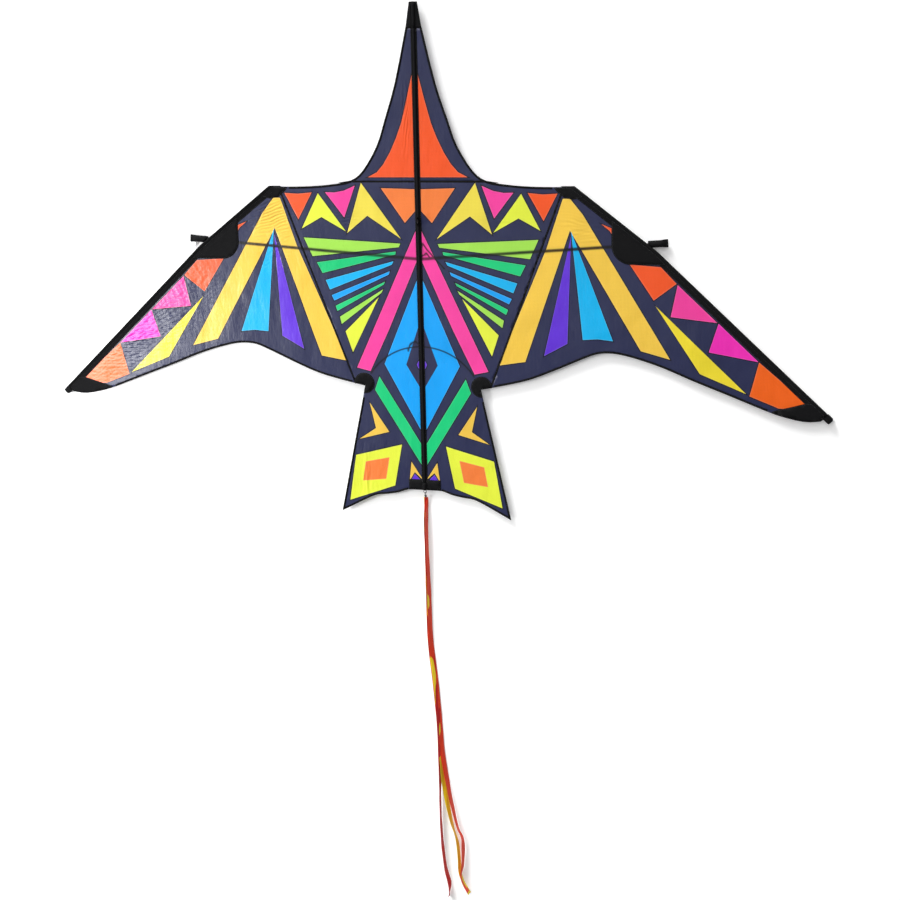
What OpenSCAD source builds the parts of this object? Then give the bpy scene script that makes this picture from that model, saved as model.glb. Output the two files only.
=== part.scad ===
// Delta kite in the shape of a bird, lying face up: +X to its right wing, +Y to the nose, +Z up.
// The origin is on the floor under the middle of the outline. All sizes are in millimetres.

/* [Outline] */
// Distance from the origin to the nose tip, and to the tail corners the other way
half_length = 945; // [900:5:990]
// Distance from the spine to each wing tip
half_span = 1497; // [1400:1:1600]
// Height of the cloth above the floor
sail_z = 19; // [18.5:0.5:20]
// Thickness of the sail cloth
sail_t = 0.4; // [0.3:0.1:0.6]

/* [Spars] */
// Radius of the spine, leading edge and spreader rods
rod_r = 4; // [3:0.5:4]
// Height of the spreader's middle line above the floor
spreader_z = 7.5; // [7:0.5:7.5]
// Where the spreader crosses the spine, in Y
spreader_y = 43; // [30:1:60]
// How far each half of the spreader rises towards the nose, in degrees
spreader_rise = 4.3; // [3:0.1:5]
// Radius of the bowed arch rod
arch_rod_r = 1.75; // [1.5:0.25:2]
// Radius that the arch rod is bowed to
arch_r = 240; // [225:5:255]

/* [Cloth parts] */
// Radius of the round sleeves over the spine and leading edge rods
sleeve_r = 5; // [4.8:0.1:5]
// Width of the leading edge sleeve with its sewn margin
sleeve_w = 27; // [22:1:32]
// Half the width of the spine sleeve with its sewn margins
spine_half_w = 11.4; // [10:0.2:11.4]
// Radius of the round spreader pockets
pocket_r = 12.5; // [12:0.5:12.5]
// Width of the hem round the free edges
hem_w = 8; // [6:1:10]
// Thickness of the reinforcing patches
patch_t = 0.8; // [0.6:0.1:1]

/* [Tail] */
// Width of each tail ribbon
ribbon_w = 20; // [15:1:25]
// Thickness of each tail ribbon
ribbon_t = 1; // [0.8:0.1:1]

/* [Hidden] */
$fn = 48;

fit = 0.05;                         // radial play of a rod in a tube or sleeve
cloth = [0.17, 0.17, 0.28];
black = [0.03, 0.03, 0.035];
fibre = [0.08, 0.08, 0.09];
vinyl = [0.05, 0.05, 0.055];
silver = [0.75, 0.76, 0.78];

spine_z = sail_z + 0.5;
sail_bottom = sail_z - sail_t / 2;
sail_top = sail_z + sail_t / 2;
margin_t = 0.8;                     // thickness of the sewn margins of the sleeves
fold_gap = 0.4;                     // between the spine's pieces and the sail halves
sail_in = spine_half_w + fold_gap;  // where each sail half begins

// Leading edge: two straight stretches that meet at a slight knee, where the spreader pushes it out.
shoulder = [574, 308];
edge_knee = [868, 82];
tip = [half_span, -502];
edge_in = atan2(edge_knee[1] - shoulder[1], edge_knee[0] - shoulder[0]);
edge_out = atan2(tip[1] - edge_knee[1], tip[0] - edge_knee[0]);
edge_mid = (edge_in + edge_out) / 2;
inner_run = norm(edge_knee - shoulder);
outer_run = norm(tip - edge_knee);

// Outline points of the right half, from the nose round to the tail.
nose_top = half_length;
nose_y = 857;                       // lower edge of the nose patch
neck_seam_y = 324;
neck_edge = [[30, nose_y], [75, 669], [117, 542], [150, 450], [205, 363], [254, 327], [323, 314],
             [405, 307], [495, 305], [560, 307]];
notch = [226, -440];
wing_edge = [[1455, -509], [1395, -513], [1300, -492], [1200, -455], [1110, -420], [1000, -378],
             [897, -336], [807, -307], [745, -292], [700, -288], [655, -293], [600, -315],
             [513, -354], [410, -396], [310, -422], notch];
tail_corner = [337, -half_length];
tail_edge = [tail_corner, [285, -917], [228, -887], [190, -871], [150, -866], [105, -857],
             [66, -844], [sail_in, -843]];
tail_end = -843;
seam_top = [536, 306];
seam_bottom = [262, -433];

// Spreader, arch and pocket.
rod_gap = 14;                       // from the spine to the inner end of each spreader half
spreader_end = 895;                 // where the spreader's cap ends
pocket_from = 838;
pocket_to = 903;
connector_l = 60;
arch_z = 10;
arch_top_y = -284;
arch_gap = 12;
arch_sweep = 57;

// ---------- helpers ----------

// A smooth curve through the points, with steps pieces between each two
function curve(p, steps = 3) = [
    for (i = [0 : len(p) - 2], s = [0 : steps - 1])
        let (a = p[max(i - 1, 0)], b = p[i], c = p[i + 1], d = p[min(i + 2, len(p) - 1)], t = s / steps)
            0.5 * (2 * b + (c - a) * t + (2 * a - 5 * b + 4 * c - d) * pow(t, 2)
                + (3 * b - a - 3 * c + d) * pow(t, 3)),
    p[len(p) - 1]];

// A point moved inward by in from a stretch of the leading edge that runs at this angle
function edge_point(p, angle, in) = p + in * [sin(angle), -cos(angle)];
// The leading edge, moved inward by in, from the shoulder to a little short of the tip
tip_back = 30;
function leading_edge(in) = [
    edge_point(shoulder, edge_in, in),
    edge_point(edge_knee, edge_mid, in / cos((edge_in - edge_out) / 2)),
    edge_point(tip, edge_out, in) - tip_back * [cos(edge_out), sin(edge_out)]];

module mirrored(side) { mirror([side < 0 ? 1 : 0, 0, 0]) children(); }

module cloth_plate(z, t) { translate([0, 0, z]) linear_extrude(t) children(); }

// A profile carried along the leading edge, mitred at the knee: its x runs inward from the outer edge
module along_edge(start = 0, end = 0) {
    mitre(-1) stretch(shoulder, edge_in, start, inner_run + sleeve_w) children();
    mitre(1) stretch(edge_knee, edge_out, -sleeve_w, outer_run - end) children();
}
module stretch(p, angle, from, to) {
    translate([p[0], p[1], sail_z]) rotate([0, 0, angle]) translate([from, 0, 0])
        rotate([90, 0, 90]) linear_extrude(to - from) mirror([1, 0]) children();
}
// Keeps what lies on one side of the plane that halves the knee's angle
module mitre(side) {
    reach = 1200;
    intersection() {
        children();
        translate([edge_knee[0], edge_knee[1], 0]) rotate([0, 0, edge_mid])
            translate([side < 0 ? -reach : 0, -reach / 2, 0]) cube([reach, reach, 60]);
    }
}

// A rod or tube along +Y from y0 to y1, at height z
module along_y(r, y0, y1, z, bore = 0) {
    translate([0, y0, z]) rotate([-90, 0, 0]) difference() {
        cylinder(r = r, h = y1 - y0);
        if (bore > 0) translate([0, 0, -1]) cylinder(r = bore, h = y1 - y0 + 2);
    }
}

// Children modelled along +X from the spine are turned onto the spreader's line
module on_spreader(z = spreader_z) {
    translate([0, spreader_y, z]) rotate([0, 0, spreader_rise]) rotate([0, 90, 0]) children();
}

module ring(r, wire, side = 24) {
    rotate_extrude($fn = side) translate([r, 0]) circle(r = wire, $fn = 16);
}

// A flat ribbon swept along points [x, y, z]
module ribbon(points) {
    n = len(points);
    function heading(i) =
        let (d = points[min(i + 1, n - 1)] - points[max(i - 1, 0)]) [d[0], d[1]] / norm([d[0], d[1]]);
    corners = [for (i = [0 : n - 1])
        let (h = heading(i), side = [-h[1], h[0], 0] * ribbon_w / 2, up = [0, 0, ribbon_t / 2])
            each [points[i] - side - up, points[i] + side - up, points[i] + side + up,
                  points[i] - side + up]];
    sides = [for (i = [0 : n - 2], k = [0 : 3])
        [4 * i + k, 4 * i + (k + 1) % 4, 4 * i + 4 + (k + 1) % 4, 4 * i + 4 + k]];
    polyhedron(corners, concat([[3, 2, 1, 0]], sides,
        [[for (k = [0 : 3]) 4 * (n - 1) + k]]));
}

// ---------- spine ----------

spine_low = tail_end + 8;
spine_high = nose_top - 8;
ferrule_y = 60;
ferrule_l = 70;

module spine_rod_upper() {
    color(fibre) along_y(rod_r, ferrule_y + 0.2, spine_high, spine_z, bore = 2.5 + fit);
}
module spine_rod_lower() {
    color(fibre) along_y(rod_r, spine_low, ferrule_y - 0.2, spine_z, bore = 2.5 + fit);
}
// The ferrule is a pin inside both tubes
module spine_ferrule() {
    color(silver) along_y(2.5, ferrule_y - ferrule_l, ferrule_y + ferrule_l, spine_z);
}

module spine_sleeve() {
    color(black) difference() {
        union() {
            along_y(sleeve_r, tail_end + 30, nose_y, spine_z);
            translate([-spine_half_w, tail_end + 30, sail_bottom])
                cube([2 * spine_half_w, nose_y - tail_end - 30, margin_t]);
        }
        along_y(rod_r + fit, tail_end, nose_top, spine_z);
    }
}

module nose_patch() {
    color(black) difference() {
        union() {
            along_y(sleeve_r + 1, nose_y, nose_top, spine_z);
            cloth_plate(sail_bottom, 1.2)
                polygon([[-29.5, nose_y], [29.5, nose_y], [15, nose_top], [-15, nose_top]]);
        }
        along_y(rod_r + fit, nose_y - 1, spine_high, spine_z);
        along_y(rod_r + 1, spine_high - 22, nose_top - 3, spine_z);
    }
}
module nose_cap() {
    color(vinyl) difference() {
        along_y(rod_r + 0.9, spine_high - 21, nose_top - 4, spine_z);
        along_y(rod_r + fit, spine_high - 22, spine_high, spine_z);
    }
}

module tail_pocket() {
    color(black) difference() {
        union() {
            along_y(sleeve_r + 1, tail_end, tail_end + 29.5, spine_z);
            translate([-spine_half_w, tail_end, sail_bottom]) cube([2 * spine_half_w, 29.5, margin_t]);
        }
        along_y(rod_r + fit, tail_end + 8, tail_end + 30, spine_z);
        along_y(rod_r + 1, tail_end + 3, tail_end + 22, spine_z);
    }
}
module tail_cap() {
    color(vinyl) difference() {
        along_y(rod_r + 0.9, tail_end + 4, tail_end + 21, spine_z);
        along_y(rod_r + fit, tail_end + 8, tail_end + 22, spine_z);
    }
}
// Cord ring through the lower edge of the tail pocket
module tail_loop() {
    color(black) translate([0, tail_end - 6, sail_z]) ring(6, 1);
}

tow_y = 182;
tow_t = 2.4;
module tow_tab() {
    color(black) difference() {
        translate([-tow_t / 2, tow_y - 16, spine_z + sleeve_r - 0.6]) cube([tow_t, 32, 22]);
        translate([-5, tow_y, spine_z + sleeve_r + 12]) rotate([0, 90, 0]) cylinder(r = 5.5, h = 10);
        along_y(sleeve_r, tow_y - 20, tow_y + 20, spine_z);
    }
}
module tow_eyelet() {
    color(vinyl) translate([0, tow_y, spine_z + sleeve_r + 12]) rotate([0, 90, 0]) difference() {
        union() {
            translate([0, 0, -1.8]) cylinder(r = 5.5, h = 3.6);
            for (z = [-1.8, tow_t / 2]) translate([0, 0, z]) cylinder(r = 8, h = 0.6);
        }
        translate([0, 0, -3]) cylinder(r = 4, h = 6);
    }
}

module centre_connector() {
    color(vinyl) difference() {
        union() for (side = [-1, 1]) mirrored(side) on_spreader() cylinder(r = rod_r + 1.5, h = connector_l);
        for (side = [-1, 1]) mirrored(side) on_spreader()
            translate([0, 0, rod_gap - 1]) cylinder(r = rod_r + fit, h = connector_l);
        on_spreader() translate([0, 0, -rod_gap]) cylinder(r = 2, h = 2 * rod_gap);
    }
}
// Cord round the connector, sewn to the underside of the spine sleeve, with a loose end
tie_r = 0.8;
module upper_tie() {
    color(black) {
        translate([0, spreader_y, spreader_z]) rotate([0, 90, 0]) ring(rod_r + 2.6, tie_r);
        translate([0, spreader_y, spreader_z - rod_r - 2.6]) rotate([0, 90, -20])
            cylinder(r = tie_r, h = 100, $fn = 16);
    }
}
module lower_tie() {
    color(black) translate([0, arch_top_y, arch_z]) rotate([0, 90, 0]) ring(4.2, tie_r);
}
module arch_joiner() {
    half = 6;
    color(vinyl) translate([0, arch_top_y - arch_r, arch_z]) rotate([0, 0, 90 - half])
        rotate_extrude(angle = 2 * half, $fn = 256) translate([arch_r, 0]) difference() {
            circle(r = 3.2, $fn = 32);
            circle(r = arch_rod_r + fit, $fn = 32);
        }
}

// ---------- each half of the sail ----------

module head_sail(side) {
    color(cloth) mirrored(side) cloth_plate(sail_bottom, sail_t) intersection() {
        polygon(concat([[sail_in, nose_y]], curve(neck_edge), [[560, 300], [sail_in, 300]]));
        translate([sail_in, neck_seam_y]) square([400, nose_y - fold_gap - neck_seam_y]);
    }
}

module sail_lower_half() {
    polygon(concat([[sail_in, neck_seam_y], [254, neck_seam_y]],
        [for (p = curve(neck_edge)) if (p[0] > 256) p], leading_edge(sleeve_w),
        curve(wing_edge), curve(tail_edge)));
}
// The seam between body and wing, as a wide region on the wing's side of it
module wing_side() {
    run = seam_top - seam_bottom;
    polygon([seam_top + run, seam_bottom - 0.02 * run, [1700, -640], [1700, 1045]]);
}
module body_sail(side) {
    color(cloth) mirrored(side) cloth_plate(sail_bottom, sail_t)
        difference() { sail_lower_half(); wing_side(); }
}
module wing_sail(side) {
    color(cloth) mirrored(side) cloth_plate(sail_bottom, sail_t)
        intersection() { sail_lower_half(); wing_side(); }
}

// Hem strip inside a row of points: between them and the same points moved by hem_w to the right
module hem_strip(points) {
    n = len(points);
    function right(i) = let (d = points[i + 1] - points[i]) [d[1], -d[0]] / norm(d);
    moved = [for (i = [n - 1 : -1 : 0])
        let (a = right(max(i - 1, 0)), b = right(min(i, n - 2))) points[i] + hem_w * (a + b) / (1 + a * b)];
    polygon(concat(points, moved));
}
hem_t = 0.5;
module neck_hem(side) {
    color(black) mirrored(side) cloth_plate(sail_top, hem_t)
        hem_strip([for (p = curve(neck_edge)) if (p[0] < 497) p]);
}
// Along the wing's trailing edge to the notch patch, and from there down and round the tail's corner
module trailing_hem(side) {
    color(black) mirrored(side) cloth_plate(sail_top, hem_t) {
        hem_strip([for (p = curve(wing_edge)) if (p[0] < 1268 && p[0] > 270) p]);
        hem_strip(concat([notch + 0.09 * (tail_corner - notch)], [for (p = curve(tail_edge)) if (p[0] > 64) p]));
    }
}

module leading_edge_sleeve(side) {
    color(black) mirrored(side) difference() {
        along_edge(end = 26.2) {
            translate([sleeve_r, 0]) circle(r = sleeve_r, $fn = 40);
            translate([sleeve_r, -sail_t / 2 - 0.4]) square([sleeve_w - sleeve_r, margin_t]);
        }
        along_edge(start = -1) translate([sleeve_r, 0]) circle(r = rod_r + fit, $fn = 40);
    }
}
module leading_edge_rod(side) {
    color(fibre) mirrored(side) along_edge(start = 12, end = 12) translate([sleeve_r, 0])
        circle(r = rod_r, $fn = 40);
}
// Folded webbing over the rod's outer end, which the kite's wing rests on
module tip_pocket(side) {
    color(black) mirrored(side) translate([tip[0], tip[1], 0]) rotate([0, 0, edge_out]) difference() {
        translate([-26, -25, 0]) cube([26, 25, sail_z + sleeve_r]);
        translate([-27, -sleeve_r, sail_z]) rotate([0, 90, 0]) cylinder(r = rod_r + fit, h = 16);
    }
}
module shoulder_cap(side) {
    color(vinyl) mirrored(side) translate([shoulder[0], shoulder[1], sail_z]) rotate([0, 0, edge_in])
        translate([0, -sleeve_r, 0]) rotate([0, 90, 0]) difference() {
            translate([0, 0, -2]) cylinder(r = rod_r - fit, h = 13.5);
            translate([0, 0, 4]) cylinder(r = 2, h = 12);
        }
}

// ---------- patches ----------

// What a patch may cover: inward of the leading edge's round sleeve
module patch_limit() {
    polygon(concat([[sail_in, neck_seam_y - 6], [300, 302], [490, 298], [574, 297]],
        leading_edge(2 * sleeve_r + 0.4), curve(wing_edge), curve(tail_edge)));
}
module shoulder_patch_area() {
    inner = edge_point(shoulder, edge_in, 2 * sleeve_r + 0.4);
    polygon([[499, 304], [509, 291], [537, 268], [569, 261], inner + 50 * [cos(edge_in), sin(edge_in)],
        inner, [561, 304]]);
}
module connector_patch_area() {
    corner_r = 70;
    intersection() {
        patch_limit();
        union() {
            translate([706 + corner_r, 34 + corner_r]) circle(r = corner_r, $fn = 64);
            translate([706, 34 + corner_r]) square([250, 100]);
            translate([706 + corner_r, 34]) square([250, 170]);
        }
    }
}
module tip_patch_area() {
    difference() {
        intersection() {
            patch_limit();
            polygon([[1402, -446], [1285, -479], [1270, -560], [1560, -560], [1500, -446]]);
        }
        translate([tip[0], tip[1]]) rotate([0, 0, edge_out]) translate([-26.3, -60]) square([60, 90]);
    }
}
module notch_patch_area() {
    intersection() {
        patch_limit();
        translate([228, -430]) circle(r = 40, $fn = 64);
    }
}
module tail_patch_area() {
    intersection() {
        patch_limit();
        translate([0, tail_end - 5]) square([63, 47]);
    }
}
module patch(side) { color(black) mirrored(side) cloth_plate(sail_top, patch_t) children(); }

// ---------- spreader and arch ----------

module spreader_pocket(side) {
    color(black) mirrored(side) difference() {
        union() {
            on_spreader(pocket_r) translate([0, 0, pocket_from]) cylinder(r = pocket_r, h = pocket_to - pocket_from);
            translate([0, spreader_y, 0]) rotate([0, 0, spreader_rise])
                translate([pocket_to - 2, -21, pocket_r - 1.5]) cube([9, 42, 3]);
        }
        on_spreader(pocket_r) translate([0, 0, pocket_from - 1])
            cylinder(r = pocket_r - 1.2, h = pocket_to - pocket_from - 2);
        cloth_plate(sail_z - sleeve_r - 0.3, 30)
            polygon(concat([[700, -100]], leading_edge(-0.5), [[1400, -600]]));
    }
}
module spreader_rod(side) {
    color(fibre) mirrored(side) on_spreader() translate([0, 0, rod_gap])
        cylinder(r = rod_r, h = spreader_end - 4 - rod_gap);
}
module spreader_cap(side) {
    color(vinyl) mirrored(side) on_spreader() difference() {
        translate([0, 0, spreader_end - 24]) cylinder(r = rod_r + 1.2, h = 24);
        translate([0, 0, spreader_end - 25]) cylinder(r = rod_r + fit, h = 21);
    }
}

module arch_rod(side) {
    first = asin(arch_gap / arch_r);
    color(fibre) mirrored(side) translate([0, arch_top_y - arch_r, arch_z])
        rotate([0, 0, 90 - arch_sweep]) rotate_extrude(angle = arch_sweep - first, $fn = 128)
            translate([arch_r, 0]) circle(r = arch_rod_r, $fn = 32);
}
// Vinyl cap over the rod's end, in a webbing tab under the notch patch
module arch_cap(side) {
    color(vinyl) mirrored(side) translate([0, arch_top_y - arch_r, arch_z])
        rotate([0, 0, 90 - arch_sweep]) translate([arch_r, 0, 0]) difference() {
            union() {
                translate([0, 12, 0]) rotate([90, 0, 0]) cylinder(r = 3.4, h = 22);
                translate([-8, -14, -3]) cube([16, 9, sail_bottom - arch_z + 3]);
            }
            translate([0, 13, 0]) rotate([90, 0, 0]) cylinder(r = arch_rod_r + 0.8, h = 13);
        }
}

// ---------- clip ----------

clip_x = -884;
clip_y = spreader_y + 884 * sin(spreader_rise) - 17;
clip_z = 7;
module clip_loop() {
    color(black) translate([clip_x, clip_y + 4, clip_z]) rotate([0, 90, 0]) ring(5, 0.9);
}
// A closed wire loop, w across and l long on its middle line, from the origin towards -Y
module wire_loop(w, l, wire) {
    for (x = [-w / 2, w / 2]) translate([x, -w / 2, 0]) rotate([90, 0, 0])
        cylinder(r = wire, h = l - w, $fn = 24);
    for (end = [0, 1]) translate([0, -w / 2 - end * (l - w), 0]) rotate([0, 0, 180 * end])
        rotate_extrude(angle = 180, $fn = 32) translate([w / 2, 0]) circle(r = wire, $fn = 24);
}
module snap_clip() {
    color(silver) translate([clip_x, clip_y - 1.4, clip_z]) rotate([7.5, 0, -24]) {
        ring(3.2, 0.7);
        translate([0, -2.8, 0]) rotate([90, 0, 0]) cylinder(r = 2.3, h = 9.5, $fn = 32);
        translate([0, -11.8, 0]) wire_loop(7.6, 26, 0.7);
    }
}

// ---------- tail ----------

knot = [0, tail_end - 25.5, 13];
module tail_knot() {
    color(black) {
        translate([0, tail_end - 15, sail_z - 2]) rotate([0, 90, 0]) ring(6.5, 1);
        translate(knot) sphere(r = 5.5, $fn = 32);
    }
}
// Routes of the three ribbons: down to the floor, then along it
red_route = [[0, -873, 8], [-1, -900, 4.5], [-3, -950, 3], [-3, -1020, 3], [-1, -1240, 3],
    [2, -1465, 3], [18, -1650, 3], [30, -1810, 3], [33, -1930, 3], [32, -2050, 3], [30, -2200, 2],
    [34, -2355, 0.5], [46, -2480, 0.5], [62, -2560, 0.5], [57, -2615, 0.5]];
orange_route = [[4, -874, 6], [4, -900, 3], [1, -950, 1.5], [0, -1020, 1.5], [3, -1240, 1.5],
    [6, -1465, 1.5], [22, -1650, 1.5], [34, -1810, 1.5], [42, -1950, 1.5], [56, -2050, 1.5],
    [75, -2165, 1.5], [101, -2285, 2], [121, -2340, 3], [120, -2450, 3], [112, -2520, 3],
    [141, -2580, 3]];
yellow_route = [[-4, -874, 4.5], [-3, -900, 1.5], [-1, -950, 0], [-2, -1020, 0], [1, -1240, 0],
    [3, -1465, 0], [20, -1650, 0], [32, -1810, 0], [37, -1950, 0], [42, -2060, 0], [58, -2180, 0],
    [78, -2276, 0], [98, -2355, 0], [104, -2430, 0], [110, -2510, 0], [145, -2590, 0]];
module on_floor() { translate([0, 0, ribbon_t / 2]) children(); }
module ribbon_red() { color([0.8, 0.08, 0.05]) on_floor() ribbon(red_route); }
module ribbon_orange() { color([0.95, 0.2, 0.08]) on_floor() ribbon(orange_route); }
module ribbon_yellow() { color([1, 0.88, 0.15]) on_floor() ribbon(yellow_route); }

// ---------- nodes ----------

spine_rod_upper();
spine_rod_lower();
spine_ferrule();
spine_sleeve();
nose_patch();
nose_cap();
tail_cap();
tail_pocket();
tail_loop();
tow_tab();
tow_eyelet();
centre_connector();
upper_tie();
lower_tie();
arch_joiner();
head_sail(-1);  // head_sail_left
head_sail(1);  // head_sail_right
body_sail(-1);  // body_sail_left
body_sail(1);  // body_sail_right
wing_sail(-1);  // wing_sail_left
wing_sail(1);  // wing_sail_right
neck_hem(-1);  // neck_hem_left
neck_hem(1);  // neck_hem_right
trailing_hem(-1);  // trailing_hem_left
trailing_hem(1);  // trailing_hem_right
leading_edge_sleeve(-1);  // leading_edge_sleeve_left
leading_edge_sleeve(1);  // leading_edge_sleeve_right
leading_edge_rod(-1);  // leading_edge_rod_left
leading_edge_rod(1);  // leading_edge_rod_right
tip_pocket(-1);  // tip_pocket_left
tip_pocket(1);  // tip_pocket_right
shoulder_cap(-1);  // shoulder_cap_left
shoulder_cap(1);  // shoulder_cap_right
patch(-1) shoulder_patch_area();  // shoulder_patch_left
patch(1) shoulder_patch_area();  // shoulder_patch_right
patch(-1) connector_patch_area();  // connector_patch_left
patch(1) connector_patch_area();  // connector_patch_right
patch(-1) tip_patch_area();  // tip_patch_left
patch(1) tip_patch_area();  // tip_patch_right
patch(-1) notch_patch_area();  // notch_patch_left
patch(1) notch_patch_area();  // notch_patch_right
patch(-1) tail_patch_area();  // tail_patch_left
patch(1) tail_patch_area();  // tail_patch_right
spreader_pocket(-1);  // spreader_pocket_left
spreader_pocket(1);  // spreader_pocket_right
spreader_rod(-1);  // spreader_rod_left
spreader_rod(1);  // spreader_rod_right
spreader_cap(-1);  // spreader_cap_left
spreader_cap(1);  // spreader_cap_right
arch_rod(-1);  // arch_rod_left
arch_rod(1);  // arch_rod_right
arch_cap(-1);  // arch_cap_left
arch_cap(1);  // arch_cap_right
clip_loop();
snap_clip();
tail_knot();
ribbon_red();
ribbon_orange();
ribbon_yellow();
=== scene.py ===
import math
import random

import bpy
import numpy as np
from mathutils import Matrix, Vector, noise
from mathutils.geometry import delaunay_2d_cdt


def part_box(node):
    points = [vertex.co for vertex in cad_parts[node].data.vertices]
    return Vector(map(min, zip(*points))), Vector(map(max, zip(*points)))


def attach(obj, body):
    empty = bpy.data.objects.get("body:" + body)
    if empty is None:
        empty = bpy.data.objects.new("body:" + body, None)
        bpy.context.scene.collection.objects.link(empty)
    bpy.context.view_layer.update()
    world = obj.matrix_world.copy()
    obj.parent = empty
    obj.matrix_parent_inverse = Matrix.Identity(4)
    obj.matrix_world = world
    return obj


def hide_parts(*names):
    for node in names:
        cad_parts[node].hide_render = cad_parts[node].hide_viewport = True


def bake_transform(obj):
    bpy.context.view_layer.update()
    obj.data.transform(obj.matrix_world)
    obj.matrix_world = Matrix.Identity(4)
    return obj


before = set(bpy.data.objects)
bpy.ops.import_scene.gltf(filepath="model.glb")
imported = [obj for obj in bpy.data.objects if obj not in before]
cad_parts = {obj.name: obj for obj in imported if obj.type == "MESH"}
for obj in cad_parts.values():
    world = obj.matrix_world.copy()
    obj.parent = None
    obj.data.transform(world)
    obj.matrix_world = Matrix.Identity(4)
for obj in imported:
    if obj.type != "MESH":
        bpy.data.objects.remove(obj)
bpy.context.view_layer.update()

MM = 0.001
SIDES = {"left": -1, "right": 1}

# Places on the right half that the CAD model gives too, in millimetres.
SHOULDER = (574, 308)
KNEE = (868, 82)
TIP = (1497, -502)
SLEEVE_R = 5
SLEEVE_W = 27
SPREADER_Y = 43
SPREADER_RISE = math.radians(4.3)
ARCH_TOP_Y = -284
ARCH_R = 240
SAIL_Z = (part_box("wing_sail_right")[0].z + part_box("wing_sail_right")[1].z) / 2 / MM
SPINE_Z = SAIL_Z + 0.5
TAIL_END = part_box("tail_pocket")[0].y / MM
NOSE_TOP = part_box("nose_patch")[1].y / MM
NOSE_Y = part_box("nose_patch")[0].y / MM


# ---------- camera ----------

def make_camera():
    """Looks down on the kite, from the nose's side and a little to the right."""
    yaw, pitch, roll = (math.radians(a) for a in (-14.38, 15.42, 1.15))
    turn = Matrix.Rotation(roll, 3, "Z") @ Matrix.Rotation(pitch, 3, "X") @ Matrix.Rotation(yaw, 3, "Y")
    data = bpy.data.cameras.new("camera")
    data.lens, data.sensor_width = 56, 36
    camera = bpy.data.objects.new("camera", data)
    camera.matrix_world = Matrix.Translation((1.372, 0.732, 4.973)) @ turn.transposed().to_4x4()
    bpy.context.scene.collection.objects.link(camera)
    bpy.context.scene.camera = camera
    bpy.context.scene.view_settings.view_transform = "Standard"


# ---------- materials ----------

class Nodes:
    """Builds one material's nodes: new() adds a node, and link() joins two sockets."""

    def __init__(self, name):
        self.material = bpy.data.materials.new(name)
        self.material.use_nodes = True
        self.tree = self.material.node_tree
        self.shader = self.tree.nodes["Principled BSDF"]
        self.where = self.new("ShaderNodeTexCoord").outputs["Object"]

    def new(self, kind, **values):
        node = self.tree.nodes.new(kind)
        for key, value in values.items():
            if key in node.inputs:
                node.inputs[key].default_value = value
            else:
                setattr(node, key, value)
        return node

    def link(self, a, b):
        self.tree.links.new(a, b)

    def math(self, operation, a, b=0.0, c=0.0):
        node = self.new("ShaderNodeMath", operation=operation)
        for socket, value in zip(node.inputs, (a, b, c)):
            if isinstance(value, (int, float)):
                socket.default_value = value
            else:
                self.link(value, socket)
        return node.outputs[0]

    def noise(self, scale, detail=3.0, stretch=(1, 1, 1), turn=0.0, roughness=0.5):
        """Noise between about 0 and 1: scale is in cycles per metre, and stretch and turn give it a grain."""
        place = self.new("ShaderNodeMapping")
        place.inputs["Scale"].default_value = stretch
        place.inputs["Rotation"].default_value = (0, 0, turn)
        self.link(self.where, place.inputs["Vector"])
        tex = self.new("ShaderNodeTexNoise", Scale=scale, Detail=detail, Roughness=roughness)
        self.link(place.outputs[0], tex.inputs["Vector"])
        return tex.outputs["Fac"]

    def spread(self, value, low, high):
        """Maps 0..1 onto low..high."""
        return self.math("MULTIPLY_ADD", value, high - low, low)

    def axes(self):
        """The place's x, y and z, each as a socket."""
        parts = self.new("ShaderNodeSeparateXYZ")
        self.link(self.where, parts.inputs[0])
        return parts.outputs

    def grid(self, pitch, width):
        """1 on a square grid of lines of that pitch and width in metres, 0 between them."""
        found = None
        for axis in self.axes()[:2]:
            off = self.math("PINGPONG", axis, pitch / 2)
            line = self.math("LESS_THAN", off, width / 2)
            found = line if found is None else self.math("MAXIMUM", found, line)
        return found

    def tint(self, color, amount, factor):
        """color, darkened by up to amount where factor is 1."""
        mix = self.new("ShaderNodeMix", data_type="RGBA")
        self.link(factor, mix.inputs[0])
        mix.inputs[6].default_value = (*color, 1)
        mix.inputs[7].default_value = (*[c * (1 - amount) for c in color], 1)
        return mix.outputs[2]

    def multiply(self, color, factor):
        mix = self.new("ShaderNodeMix", data_type="RGBA", blend_type="MULTIPLY")
        mix.inputs[0].default_value = 1
        self.link(color, mix.inputs[6])
        self.link(factor, mix.inputs[7])
        return mix.outputs[2]

    def bump(self, height, distance, under=None):
        node = self.new("ShaderNodeBump", Strength=1, Distance=distance)
        self.link(height, node.inputs["Height"])
        if under is not None:
            self.link(under, node.inputs["Normal"])
        return node.outputs[0]

    def set(self, **values):
        for key, value in values.items():
            self.shader.inputs[key.replace("_", " ")].default_value = value


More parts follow.
